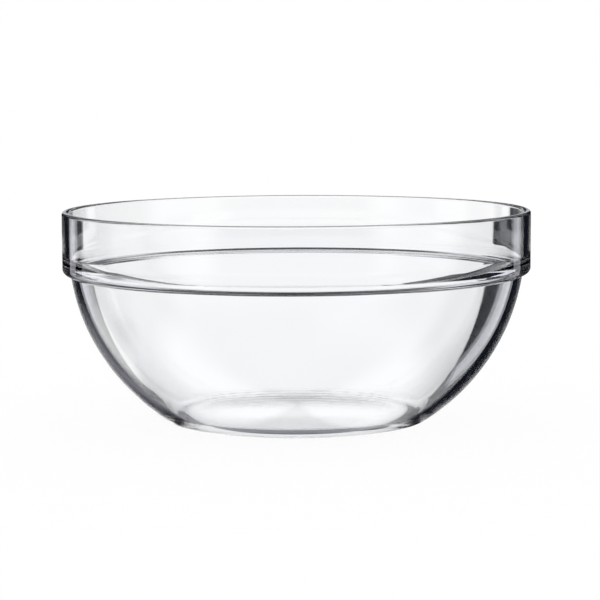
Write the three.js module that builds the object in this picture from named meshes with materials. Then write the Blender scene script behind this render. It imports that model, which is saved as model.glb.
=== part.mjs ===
// A clear glass side dish bowl, pressed in one piece: a straight rim band over a rounded body. Inside, the
// band swells to a narrow neck over a ledge. Outside, a shoulder under the band rests on the rim of the
// next bowl in a stack. The bowl stands on a ring foot around a shallow recess.
// Units are millimetres, +Z is up, and the origin is the centre of the foot on the table.
import * as THREE from "three";

// Rim band
const RIM_DIAMETER = 140;
const BOWL_HEIGHT = 63.7;
const BAND_WALL = 2.1;
const BAND_HEIGHT = 18.05; // from the rim to the band's lower edge, before that edge is rounded
const RIM_LAND = 0.4; // width of the flat on top of the rim, between its two roundings

// Shoulder under the band, which rests on the rim of the next bowl in a stack
const STACK_CLEARANCE = 0.3; // between a bowl's body and the band that it drops into
const SHOULDER_DROP = 1.15;
const SHOULDER_EDGE_RADIUS = 1.8;

// Swell of the band's inner wall and the ledge below it, which is level with the band's lower edge
const SWELL_DEPTH = 1.15; // how far the wall comes in
const SWELL_RUN = 4; // the height over which it comes in, from the straight wall down to a crease
const NECK_HEIGHT = 1.3; // from the ledge up to that crease
const LEDGE_CORNER_RADIUS = 0.9; // of the hollow corner against the neck
const LEDGE_EDGE_RADIUS = 0.3; // of the round edge towards the inside of the body

// Body
const BODY_RADIUS = 63.3; // of the round side, in section
const BODY_WALL = 2.8;

// Foot and floor
const FOOT_DIAMETER = 70;
const FOOT_RING_WIDTH = 4.8; // of the flat ring that the bowl stands on
const HEEL_RADIUS = 9.8;
const RECESS_DEPTH = 0.3; // of the domed hollow inside that ring
const FLOOR_THICKNESS = 2.4; // of the glass over the middle of the hollow
const FLOOR_FILLET = 14; // inside, between the floor and the wall

// Fineness of the surface
const CHORD_ERROR = 0.04; // most that a facet of the section may leave its arc
const FACETS_AROUND = 72;

const GLASS = { color: 0xeaf1f3, roughness: 0.03, metalness: 0, transparent: true, opacity: 0.3 };

const QUARTER_TURN = Math.PI / 2;

const rimRadius = RIM_DIAMETER / 2;
const bandInnerRadius = rimRadius - BAND_WALL;
const bandBottom = BOWL_HEIGHT - BAND_HEIGHT;
const neckRadius = bandInnerRadius - SWELL_DEPTH;
const innerBodyRadius = BODY_RADIUS - BODY_WALL;
const footRadius = FOOT_DIAMETER / 2;
const recessRadius = footRadius - FOOT_RING_WIDTH;
const floorHeight = RECESS_DEPTH + FLOOR_THICKNESS;

// A point of the section: its distance from the axis, and its height.
const at = (radius, height) => new THREE.Vector2(radius, height);

// The direction from one point of the section to another, as an angle.
const angleTo = (from, to) => Math.atan2(to.y - from.y, to.x - from.x);

// The points of a round stretch of the section, from one angle to another, with both ends.
function arc(centre, radius, start, end) {
  const widestStep = 2 * Math.acos(1 - CHORD_ERROR / radius);
  const steps = Math.max(1, Math.ceil(Math.abs(end - start) / widestStep));
  return Array.from({ length: steps + 1 }, (_, i) => {
    const angle = start + ((end - start) * i) / steps;
    return at(centre.x + radius * Math.cos(angle), centre.y + radius * Math.sin(angle));
  });
}

// The lower edge of the shoulder, where the body starts, clears the band of the bowl below.
const shoulderFoot = at(bandInnerRadius - STACK_CLEARANCE, bandBottom - SHOULDER_DROP);
const heelCentre = at(footRadius, HEEL_RADIUS);

// The centre of the body's round side, which passes through the shoulder's lower edge and is touched
// from inside by the heel's rounding, so that its distance from both is known.
function bodyCentre() {
  const apart = shoulderFoot.distanceTo(heelCentre);
  const toHeel = BODY_RADIUS - HEEL_RADIUS;
  const along = (BODY_RADIUS ** 2 - toHeel ** 2 + apart ** 2) / (2 * apart);
  const across = Math.sqrt(BODY_RADIUS ** 2 - along ** 2);
  const downward = heelCentre.clone().sub(shoulderFoot).divideScalar(apart);
  const inward = at(downward.y, -downward.x);
  return shoulderFoot.clone().addScaledVector(downward, along).addScaledVector(inward, across);
}

const body = bodyCentre();

// The point of the section at a given height that is a given distance from the body's centre.
function besideBody(distance, height) {
  return at(body.x + Math.sqrt(distance ** 2 - (body.y - height) ** 2), height);
}

// The underside, a shallow dome from the axis to the inner edge of the ring that the bowl stands on.
function underside() {
  const domeRadius = (recessRadius ** 2 + RECESS_DEPTH ** 2) / (2 * RECESS_DEPTH);
  const domeCentre = at(0, RECESS_DEPTH - domeRadius);
  return arc(domeCentre, domeRadius, QUARTER_TURN, angleTo(domeCentre, at(recessRadius, 0)));
}

// The outside, from the heel up the round side to the shoulder's lower edge.
function outside() {
  const heelTop = angleTo(body, heelCentre);
  return [
    ...arc(heelCentre, HEEL_RADIUS, -QUARTER_TURN, heelTop),
    ...arc(body, BODY_RADIUS, heelTop, angleTo(body, shoulderFoot)).slice(1),
  ];
}

// The round edge between the shoulder's sloping underside and the outside of the band.
function shoulderEdge() {
  const slope = angleTo(shoulderFoot, at(rimRadius, bandBottom));
  const setback = SHOULDER_EDGE_RADIUS * Math.tan((QUARTER_TURN - slope) / 2);
  const edgeCentre = at(rimRadius - SHOULDER_EDGE_RADIUS, bandBottom + setback);
  return arc(edgeCentre, SHOULDER_EDGE_RADIUS, slope - QUARTER_TURN, 0);
}

// The rim, with its flat between an outer and an inner rounding.
function rim() {
  const lipRadius = (BAND_WALL - RIM_LAND) / 2;
  const lipHeight = BOWL_HEIGHT - lipRadius;
  return [
    ...arc(at(rimRadius - lipRadius, lipHeight), lipRadius, 0, QUARTER_TURN),
    ...arc(at(bandInnerRadius + lipRadius, lipHeight), lipRadius, QUARTER_TURN, 2 * QUARTER_TURN),
  ];
}

// The swell, an arc that leaves the band's straight inner wall and ends in the crease at the neck.
function swell() {
  const swellRadius = (SWELL_RUN ** 2 + SWELL_DEPTH ** 2) / (2 * SWELL_DEPTH);
  const swellCentre = at(bandInnerRadius - swellRadius, bandBottom + NECK_HEIGHT + SWELL_RUN);
  return arc(swellCentre, swellRadius, 0, -Math.asin(SWELL_RUN / swellRadius));
}

// The ledge, from its hollow corner under the neck to its round edge at the body's inner wall.
function ledge() {
  const width = neckRadius - besideBody(innerBodyRadius, bandBottom).x;
  const cornerRadius = Math.min(LEDGE_CORNER_RADIUS, NECK_HEIGHT, width / 2);
  const cornerCentre = at(neckRadius - cornerRadius, bandBottom + cornerRadius);
  const edgeRadius = Math.min(LEDGE_EDGE_RADIUS, width / 3);
  const edgeCentre = besideBody(innerBodyRadius + edgeRadius, bandBottom - edgeRadius);
  return [
    ...arc(cornerCentre, cornerRadius, 0, -QUARTER_TURN),
    ...arc(edgeCentre, edgeRadius, QUARTER_TURN, 2 * QUARTER_TURN + angleTo(body, edgeCentre)),
  ];
}

// The inside, from the foot of the ledge down the round wall and across the floor to the axis.
function inside(ledgeFoot) {
  const filletCentre = besideBody(innerBodyRadius - FLOOR_FILLET, floorHeight + FLOOR_FILLET);
  const filletTop = angleTo(body, filletCentre);
  return [
    ...arc(body, innerBodyRadius, angleTo(body, ledgeFoot), filletTop).slice(1),
    ...arc(filletCentre, FLOOR_FILLET, filletTop, -QUARTER_TURN).slice(1),
    at(0, floorHeight),
  ];
}

// The whole section turned about the axis, as one closed solid of glass.
function bowlGeometry() {
  const ledgePoints = ledge();
  const outerSection = [...underside(), ...outside(), ...shoulderEdge()];
  const innerSection = [...swell(), ...ledgePoints, ...inside(ledgePoints.at(-1))];
  const section = [...outerSection, ...rim(), ...innerSection];
  return new THREE.LatheGeometry(section, FACETS_AROUND).rotateX(QUARTER_TURN);
}

const glassBowl = new THREE.Mesh(bowlGeometry(), new THREE.MeshStandardMaterial(GLASS));
glassBowl.name = "glass_bowl";

const sideDishBowl = new THREE.Group();
sideDishBowl.name = "side_dish_bowl";
sideDishBowl.add(glassBowl);

export default sideDishBowl;
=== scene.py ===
import math
import bpy
from mathutils import Matrix, Vector


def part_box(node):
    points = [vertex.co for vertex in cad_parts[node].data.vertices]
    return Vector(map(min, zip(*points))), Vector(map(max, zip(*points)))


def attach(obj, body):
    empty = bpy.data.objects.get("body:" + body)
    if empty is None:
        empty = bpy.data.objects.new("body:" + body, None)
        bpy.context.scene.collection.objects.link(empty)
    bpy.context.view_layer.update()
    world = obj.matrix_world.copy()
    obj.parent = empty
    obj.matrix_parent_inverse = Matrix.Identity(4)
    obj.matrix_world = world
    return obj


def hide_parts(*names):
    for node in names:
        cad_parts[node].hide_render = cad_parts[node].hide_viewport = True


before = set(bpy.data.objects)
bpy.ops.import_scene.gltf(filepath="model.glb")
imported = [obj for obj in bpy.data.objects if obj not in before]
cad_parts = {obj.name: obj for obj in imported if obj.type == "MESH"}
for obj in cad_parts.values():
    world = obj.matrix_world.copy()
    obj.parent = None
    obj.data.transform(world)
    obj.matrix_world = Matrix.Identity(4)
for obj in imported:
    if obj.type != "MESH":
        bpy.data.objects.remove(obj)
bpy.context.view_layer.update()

MM = 0.001
QUARTER_TURN = math.pi / 2

# The bowl, in metres
foot_corner, rim_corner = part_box("glass_bowl")
RIM_RADIUS = (rim_corner.x - foot_corner.x) / 2
BOWL_HEIGHT = rim_corner.z
BAND_WALL = 2.1 * MM
BAND_HEIGHT = 18.05 * MM
RIM_LAND = 0.4 * MM
STACK_CLEARANCE = 0.3 * MM
SHOULDER_DROP = 1.15 * MM
SHOULDER_EDGE_RADIUS = 1.8 * MM
SWELL_DEPTH = 1.15 * MM
SWELL_RUN = 4.0 * MM
NECK_HEIGHT = 1.3 * MM
LEDGE_CORNER_RADIUS = 0.9 * MM
LEDGE_EDGE_RADIUS = 0.3 * MM
BODY_RADIUS = 63.3 * MM
BODY_WALL = 2.8 * MM
FOOT_RADIUS = 35 * MM
FOOT_RING_WIDTH = 4.8 * MM
HEEL_RADIUS = 9.8 * MM
RECESS_DEPTH = 0.3 * MM
FLOOR_THICKNESS = 2.4 * MM
FLOOR_FILLET = 14 * MM

# Sizes and places of the bowl's section that follow from those
BAND_INNER_RADIUS = RIM_RADIUS - BAND_WALL
BAND_BOTTOM = BOWL_HEIGHT - BAND_HEIGHT
NECK_RADIUS = BAND_INNER_RADIUS - SWELL_DEPTH
INNER_BODY_RADIUS = BODY_RADIUS - BODY_WALL
RECESS_RADIUS = FOOT_RADIUS - FOOT_RING_WIDTH
FLOOR_HEIGHT = RECESS_DEPTH + FLOOR_THICKNESS
SHOULDER_FOOT = Vector((BAND_INNER_RADIUS - STACK_CLEARANCE, BAND_BOTTOM - SHOULDER_DROP))
HEEL_CENTRE = Vector((FOOT_RADIUS, HEEL_RADIUS))

# Fineness of the glass
CHORD_ERROR = 0.001 * MM
FACETS_AROUND = 384
EDGE_HOLD = 0.04 * MM  # from the end of a straight stretch to the ring that keeps it straight
LONG_STRETCH = 10 * EDGE_HOLD
SHARP_ANGLE = math.radians(25)

# The glass: a pattern's scale is in patches per metre, and its spread is the noise that it fades over
GLASS_IOR = 1.52
CLEAR_TINT = (0.994, 0.997, 1, 1)
DEEP_TINT = (0.982, 0.99, 1, 1)
STREAK_SCALE = 25
STREAK_SPREAD = (0.3, 0.7)
SMUDGE_SCALE = 45
SMUDGE_SPREAD = (0.5, 0.8)
SMUDGE_ROUGHNESS = 0.012
SCUFF_SCALE = 900
SCUFF_SPREAD = (0.1, 0.9)
SCUFF_ROUGHNESS = 0.14
SCUFF_HEIGHT = 0.25 * MM
RIPPLE_SCALE = 60
RIPPLE_DEPTH = 0.02 * MM

# The studio that the glass sees: panels painted over white in this order, the white ones as openings
WHITE = (1, 1, 1, 1)
LIGHT = (0.92, 0.92, 1, 1)
PALE = (0.7, 0.7, 0.75, 1)
GREY = (0.5, 0.51, 0.54, 1)
DIM = (0.2, 0.2, 0.23, 1)
BLACK = (0.006, 0.007, 0.011, 1)
# A panel in degrees: azimuth from behind the bowl to the right, half width, bottom, top, soft edge; tone
PANELS = (
    # The dim room on the camera's side
    (180, 70, -110, -20, 18, DIM),
    (180, 40, -9, 9, 7, DIM),
    # Screens on the left, and one at the front on the right
    (-90, 32, -14, 40, 10, GREY),
    (-45, 32, -58, -10, 14, PALE),
    (135, 32, -48, -9, 14, GREY),
    # The black wall behind and on the right, and dark cards to the left of it
    (25, 72, -46, 36, 9, BLACK),
    (-48.5, 4, -9, 3, 1, BLACK),
    (-66, 8, -31, -25, 5, DIM),
    # Windows in the screens
    (-45, 10, -34, -17, 3, WHITE),
    (-90, 11, -12, 6, 4, WHITE),
    (135, 11, -24, -8, 4, WHITE),
    # Light strips for the edges of the band and the body, left and then right
    (-39.8, 4.5, -18, 2, 0.3, LIGHT),
    (-41.5, 6, -18, -9, 0.5, LIGHT),
    (44.2, 4.8, -10, 2, 0.3, LIGHT),
    (42.5, 7, -35, -10, 0.3, LIGHT),
    # A soft streak on the left of the black wall, and a light high up behind the bowl
    (-24.5, 4, -32, -13, 3.5, DIM),
    (0, 5, 29, 40, 2, LIGHT),
    # The doorway in the black wall, with a pale lamp over each of its sides and dim ground below it
    (-8.8, 4, 0, 11, 1.2, PALE),
    (8.2, 3, 0, 17, 1.2, PALE),
    (-1.45, 9.65, -36, -0.5, 0.15, WHITE),
    (-1.75, 11.45, -17, -6.3, 0.15, WHITE),
    (-2, 24, -110, -35, 3, DIM),
)
CARD_DISTANCE = 150 * MM
CARD_HALF_WIDTH = 65 * MM
CARD_BOTTOM = 2 * MM
CARD_TOP = 44 * MM
FLOOR_REACH = 220 * MM
FLOOR_FADE = 80 * MM
FLOOR_GLOW = 0.93
FLOOR_DROP = 0.02 * MM  # of the floor below the foot, so that they don't touch

# The camera, from the fit of the bowl's outline in the photograph
IMAGE_SIDE = 600
SENSOR_WIDTH = 36.0
FOCAL_PIXELS = 2324.66
CAMERA_DISTANCE = 10 * RIM_RADIUS
CAMERA_ELEVATION = math.radians(6.468)
CAMERA_ROLL = math.radians(-0.253)
AIM_HEIGHT = 31.8 * MM
AIM_PIXEL = (296.6, 315.09)

# How often light may turn in the glass
GLASS_BOUNCES = 32
MIRROR_BOUNCES = 16

# Places of the colour sockets on a Mix node
MIX_FIRST = 6
MIX_SECOND = 7
MIX_RESULT = 2


class Shade:
    """A socket of a node tree. Arithmetic on it adds Math nodes to that tree."""

    def __init__(self, tree, socket=None):
        self.tree = tree
        self.socket = socket

    def node(self, kind, settings=None, sockets=None, out=0):
        """Adds a node, makes its settings, and then gives its sockets their values or links."""
        made = self.tree.nodes.new(kind)
        for name, value in (settings or {}).items():
            setattr(made, name, value)
        for name, value in (sockets or {}).items():
            if isinstance(value, Shade):
                self.tree.links.new(value.socket, made.inputs[name])
            else:
                made.inputs[name].default_value = value
        return Shade(self.tree, made.outputs[out] if made.outputs else None)

    def math(self, operation, *values):
        return self.node("ShaderNodeMath", {"operation": operation}, dict(enumerate(values)))

    def ramp(self, low, high):
        """0 below low and 1 above high, with a smooth step between; falls where high is the lower."""
        settings = {"interpolation_type": "SMOOTHSTEP"}
        sockets = {"Value": self, "From Min": low, "From Max": high}
        return self.node("ShaderNodeMapRange", settings, sockets)

    def noise(self, scale, detail):
        """Smooth noise from 0 to 1 at the places that this holds."""
        return self.node("ShaderNodeTexNoise", sockets={"Vector": self, "Scale": scale, "Detail": detail})

    def mix(self, first, second):
        """The first colour where this is 0 and the second where it is 1."""
        sockets = {"Factor": self, MIX_FIRST: first, MIX_SECOND: second}
        return self.node("ShaderNodeMix", {"data_type": "RGBA"}, sockets, out=MIX_RESULT)

    def __add__(self, other):
        return self.math("ADD", self, other)

    __radd__ = __add__

    def __sub__(self, other):
        return self.math("SUBTRACT", self, other)

    def __rsub__(self, other):
        return self.math("SUBTRACT", other, self)

    def __mul__(self, other):
        return self.math("MULTIPLY", self, other)

    __rmul__ = __mul__


def arc(centre, radius, start, end):
    """Points of a round stretch of the section, from one angle to another, with both ends."""
    widest_step = 2 * math.acos(1 - CHORD_ERROR / radius)
    steps = max(1, math.ceil(abs(end - start) / widest_step))
    angles = [start + (end - start) * i / steps for i in range(steps + 1)]
    return [centre + radius * Vector((math.cos(a), math.sin(a))) for a in angles]


def held(section):
    """The section with points close to both ends of each straight stretch, so that it shades straight."""
    points = section[:1]
    for start, end in zip(section, section[1:]):
        if (end - start).length > LONG_STRETCH:
            hold = EDGE_HOLD * (end - start).normalized()
            points += [start + hold, end - hold]
        points.append(end)
    return points


def angle_to(start, end):
    return math.atan2(end.y - start.y, end.x - start.x)


def body_centre():
    """The centre of the round side, which meets the shoulder's foot and is touched by the heel."""
    apart = (HEEL_CENTRE - SHOULDER_FOOT).length
    to_heel = BODY_RADIUS - HEEL_RADIUS
    along = (BODY_RADIUS**2 - to_heel**2 + apart**2) / (2 * apart)
    across = math.sqrt(BODY_RADIUS**2 - along**2)
    downward = (HEEL_CENTRE - SHOULDER_FOOT) / apart
    inward = Vector((downward.y, -downward.x))
    return SHOULDER_FOOT + along * downward + across * inward


def beside(body, distance, height):
    """The point of the section at a height that is a given distance from the body's centre."""
    return Vector((body.x + math.sqrt(distance**2 - (body.y - height) ** 2), height))


def underside():
    """The shallow dome inside the ring that the bowl stands on."""
    dome_radius = (RECESS_RADIUS**2 + RECESS_DEPTH**2) / (2 * RECESS_DEPTH)
    dome_centre = Vector((0, RECESS_DEPTH - dome_radius))
    dome_edge = angle_to(dome_centre, Vector((RECESS_RADIUS, 0)))
    return arc(dome_centre, dome_radius, QUARTER_TURN, dome_edge)


def outside(body):
    """The heel and the round side, up to the shoulder's foot."""
    heel_top = angle_to(body, HEEL_CENTRE)
    heel = arc(HEEL_CENTRE, HEEL_RADIUS, -QUARTER_TURN, heel_top)
    return heel + arc(body, BODY_RADIUS, heel_top, angle_to(body, SHOULDER_FOOT))[1:]


def shoulder_edge():
    """The round edge between the shoulder's slope and the outside of the band."""
    slope = angle_to(SHOULDER_FOOT, Vector((RIM_RADIUS, BAND_BOTTOM)))
    setback = SHOULDER_EDGE_RADIUS * math.tan((QUARTER_TURN - slope) / 2)
    edge_centre = Vector((RIM_RADIUS - SHOULDER_EDGE_RADIUS, BAND_BOTTOM + setback))
    return arc(edge_centre, SHOULDER_EDGE_RADIUS, slope - QUARTER_TURN, 0)


def rim():
    """The rim, with its flat between an outer and an inner rounding."""
    lip = (BAND_WALL - RIM_LAND) / 2
    outer_centre = Vector((RIM_RADIUS - lip, BOWL_HEIGHT - lip))
    inner_centre = Vector((BAND_INNER_RADIUS + lip, BOWL_HEIGHT - lip))
    outer_lip = arc(outer_centre, lip, 0, QUARTER_TURN)
    return outer_lip + arc(inner_centre, lip, QUARTER_TURN, 2 * QUARTER_TURN)


def swell():
    """The swell of the band's inner wall, down to the crease at the neck."""
    swell_radius = (SWELL_RUN**2 + SWELL_DEPTH**2) / (2 * SWELL_DEPTH)
    swell_centre = Vector((BAND_INNER_RADIUS - swell_radius, BAND_BOTTOM + NECK_HEIGHT + SWELL_RUN))
    return arc(swell_centre, swell_radius, 0, -math.asin(SWELL_RUN / swell_radius))


def ledge_edge_centre(body):
    return beside(body, INNER_BODY_RADIUS + LEDGE_EDGE_RADIUS, BAND_BOTTOM - LEDGE_EDGE_RADIUS)


def ledge(body):
    """The ledge, from its hollow corner under the neck to its round edge at the body's inner wall."""
    corner_centre = Vector((NECK_RADIUS - LEDGE_CORNER_RADIUS, BAND_BOTTOM + LEDGE_CORNER_RADIUS))
    corner = arc(corner_centre, LEDGE_CORNER_RADIUS, 0, -QUARTER_TURN)
    edge_centre = ledge_edge_centre(body)
    edge_end = 2 * QUARTER_TURN + angle_to(body, edge_centre)
    return corner + arc(edge_centre, LEDGE_EDGE_RADIUS, QUARTER_TURN, edge_end)


def inside(body):
    """The inner wall, the fillet and the flat floor, from the ledge to the axis."""
    fillet_centre = beside(body, INNER_BODY_RADIUS - FLOOR_FILLET, FLOOR_HEIGHT + FLOOR_FILLET)
    fillet_top = angle_to(body, fillet_centre)
    wall = arc(body, INNER_BODY_RADIUS, angle_to(body, ledge_edge_centre(body)), fillet_top)[1:]
    fillet = arc(fillet_centre, FLOOR_FILLET, fillet_top, -QUARTER_TURN)[1:]
    return wall + fillet + [Vector((0, FLOOR_HEIGHT))]


def bowl_section():
    """The section from the underside round to the floor, as distances from the axis and heights."""
    body = body_centre()
    outer_section = underside() + outside(body) + shoulder_edge()
    return outer_section + rim() + swell() + ledge(body) + inside(body)


def new_piece(name, vertices, faces):
    mesh = bpy.data.meshes.new(name)
    mesh.from_pydata(vertices, [], faces)
    piece = bpy.data.objects.new(name, mesh)
    bpy.context.scene.collection.objects.link(piece)
    return piece


def ring(radius, height):
    """Points of a level circle about the axis."""
    turns = [2 * math.pi * i / FACETS_AROUND for i in range(FACETS_AROUND)]
    return [(radius * math.cos(t), radius * math.sin(t), height) for t in turns]


def turned(name, section):
    """A closed mesh of revolution about Z, whose section starts and ends on the axis."""
    rings = section[1:-1]
    vertices = [vertex for point in rings for vertex in ring(point.x, point.y)]
    first, last = len(vertices), len(vertices) + 1
    vertices += [(0, 0, section[0].y), (0, 0, section[-1].y)]
    last_row = (len(rings) - 1) * FACETS_AROUND
    faces = []
    for i in range(FACETS_AROUND):
        j = (i + 1) % FACETS_AROUND
        faces.append((first, j, i))
        for row in range(0, last_row, FACETS_AROUND):
            next_row = row + FACETS_AROUND
            faces.append((row + i, row + j, next_row + j, next_row + i))
        faces.append((last, last_row + i, last_row + j))
    piece = new_piece(name, vertices, faces)
    piece.data.shade_smooth()
    piece.data.set_sharp_from_angle(angle=SHARP_ANGLE)
    return piece


def new_material(name):
    material = bpy.data.materials.new(name)
    material.use_nodes = True
    material.node_tree.nodes.clear()
    return material, Shade(material.node_tree)


def clear_glass():
    """Clear pressed glass with a faint tint in streaks, ripples, thin smudges and a scuffed foot."""
    material, tree = new_material("clear_glass")
    place = tree.node("ShaderNodeTexCoord", out="Object")
    height = tree.node("ShaderNodeSeparateXYZ", sockets={0: place}, out="Z")
    tint = place.noise(STREAK_SCALE, detail=2).ramp(*STREAK_SPREAD).mix(CLEAR_TINT, DEEP_TINT)
    smudges = place.noise(SMUDGE_SCALE, detail=4).ramp(*SMUDGE_SPREAD)
    scuffs = place.noise(SCUFF_SCALE, detail=3).ramp(*SCUFF_SPREAD) * height.ramp(SCUFF_HEIGHT, 0)
    ripples = place.noise(RIPPLE_SCALE, detail=0)
    bump_sockets = {"Height": ripples, "Distance": RIPPLE_DEPTH, "Strength": 1.0}
    glass = tree.node(
        "ShaderNodeBsdfPrincipled",
        sockets={
            "Base Color": tint,
            "Roughness": SMUDGE_ROUGHNESS * smudges + SCUFF_ROUGHNESS * scuffs,
            "IOR": GLASS_IOR,
            "Transmission Weight": 1.0,
            "Normal": tree.node("ShaderNodeBump", sockets=bump_sockets),
        },
    )
    tree.node("ShaderNodeOutputMaterial", sockets={"Surface": glass})
    return material


def pale_floor():
    """A pale disc under the bowl, which fades out into the white around it."""
    material, tree = new_material("pale_floor")
    place = tree.node("ShaderNodeNewGeometry", out="Position")
    distance = tree.node("ShaderNodeVectorMath", {"operation": "LENGTH"}, {0: place}, out="Value")
    shade = 1 - FLOOR_GLOW
    paper = tree.node("ShaderNodeBsdfDiffuse", sockets={"Color": (shade, shade, shade, 1)})
    glow = tree.node("ShaderNodeEmission", sockets={"Color": WHITE, "Strength": FLOOR_GLOW})
    lit = tree.node("ShaderNodeAddShader", sockets={0: paper, 1: glow})
    clear = tree.node("ShaderNodeBsdfTransparent")
    seen = tree.node("ShaderNodeLightPath", out="Is Camera Ray")
    solid = distance.ramp(FLOOR_REACH, FLOOR_REACH - FLOOR_FADE) * seen
    faded = tree.node("ShaderNodeMixShader", sockets={0: solid, 1: clear, 2: lit})
    tree.node("ShaderNodeOutputMaterial", sockets={"Surface": faded})

    floor = new_piece("floor", ring(FLOOR_REACH, -FLOOR_DROP), [range(FACETS_AROUND)])
    floor.data.materials.append(material)


def back_card():
    """A low white card behind the bowl, which only the glass shows: the bowl's floor mirrors it."""
    material, tree = new_material("white_card")
    glow = tree.node("ShaderNodeEmission", sockets={"Color": WHITE, "Strength": 1.0})
    tree.node("ShaderNodeOutputMaterial", sockets={"Surface": glow})

    sides = (-CARD_HALF_WIDTH, CARD_HALF_WIDTH)
    low = [(x, CARD_DISTANCE, CARD_BOTTOM) for x in sides]
    high = [(x, CARD_DISTANCE, CARD_TOP) for x in reversed(sides)]
    corners = low + high
    card = new_piece("back_card", corners, [range(len(corners))])
    card.data.materials.append(material)
    card.visible_camera = False
    card.visible_diffuse = False
    card.visible_shadow = False


def studio_world():
    """White for the camera and the floor, and the panels for what is seen in and through the glass."""
    world = bpy.data.worlds.new("studio")
    world.use_nodes = True
    world.node_tree.nodes.clear()
    bpy.context.scene.world = world
    tree = Shade(world.node_tree)
    direction = tree.node("ShaderNodeTexCoord", out="Generated")
    x, y, z = (tree.node("ShaderNodeSeparateXYZ", sockets={0: direction}, out=axis) for axis in "XYZ")
    azimuth = tree.math("ARCTAN2", x, y)
    elevation = tree.math("ARCSINE", z)
    tone = WHITE
    for *place, panel_tone in PANELS:
        middle, half_width, bottom, top, edge = (math.radians(angle) for angle in place)
        turned_by = tree.math("ABSOLUTE", azimuth - middle)
        off_middle = tree.math("MINIMUM", turned_by, 2 * math.pi - turned_by)
        across = off_middle.ramp(half_width + edge, half_width - edge)
        upward = elevation.ramp(bottom - edge, bottom + edge) * elevation.ramp(top + edge, top - edge)
        tone = (across * upward).mix(tone, panel_tone)
    glossy_ray = tree.node("ShaderNodeLightPath", out="Is Glossy Ray")
    transmission_ray = tree.node("ShaderNodeLightPath", out="Is Transmission Ray")
    tone = tree.math("MAXIMUM", glossy_ray, transmission_ray).mix(WHITE, tone)
    background = tree.node("ShaderNodeBackground", sockets={"Color": tone, "Strength": 1.0})
    tree.node("ShaderNodeOutputWorld", sockets={"Surface": background})


def make_camera():
    """The photograph's view."""
    camera = bpy.data.cameras.new("camera")
    camera.sensor_width = SENSOR_WIDTH
    camera.lens = FOCAL_PIXELS * SENSOR_WIDTH / IMAGE_SIDE
    camera.shift_x = (IMAGE_SIDE / 2 - AIM_PIXEL[0]) / IMAGE_SIDE
    camera.shift_y = (AIM_PIXEL[1] - IMAGE_SIDE / 2) / IMAGE_SIDE
    viewpoint = bpy.data.objects.new("camera", camera)
    back = Vector((0, -math.cos(CAMERA_ELEVATION), math.sin(CAMERA_ELEVATION)))
    place = Vector((0, 0, AIM_HEIGHT)) + CAMERA_DISTANCE * back
    turn = back.to_track_quat("Z", "Y").to_matrix().to_4x4()
    viewpoint.matrix_world = Matrix.Translation(place) @ turn @ Matrix.Rotation(CAMERA_ROLL, 4, "Z")
    bpy.context.scene.collection.objects.link(viewpoint)
    bpy.context.scene.camera = viewpoint


bowl = turned("bowl", held(bowl_section()))
bowl.data.materials.append(clear_glass())
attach(bowl, "root")
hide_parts("glass_bowl")

pale_floor()
back_card()
studio_world()
make_camera()

scene = bpy.context.scene
scene.view_settings.view_transform = "Standard"
scene.cycles.max_bounces = GLASS_BOUNCES
scene.cycles.transmission_bounces = GLASS_BOUNCES
scene.cycles.glossy_bounces = MIRROR_BOUNCES
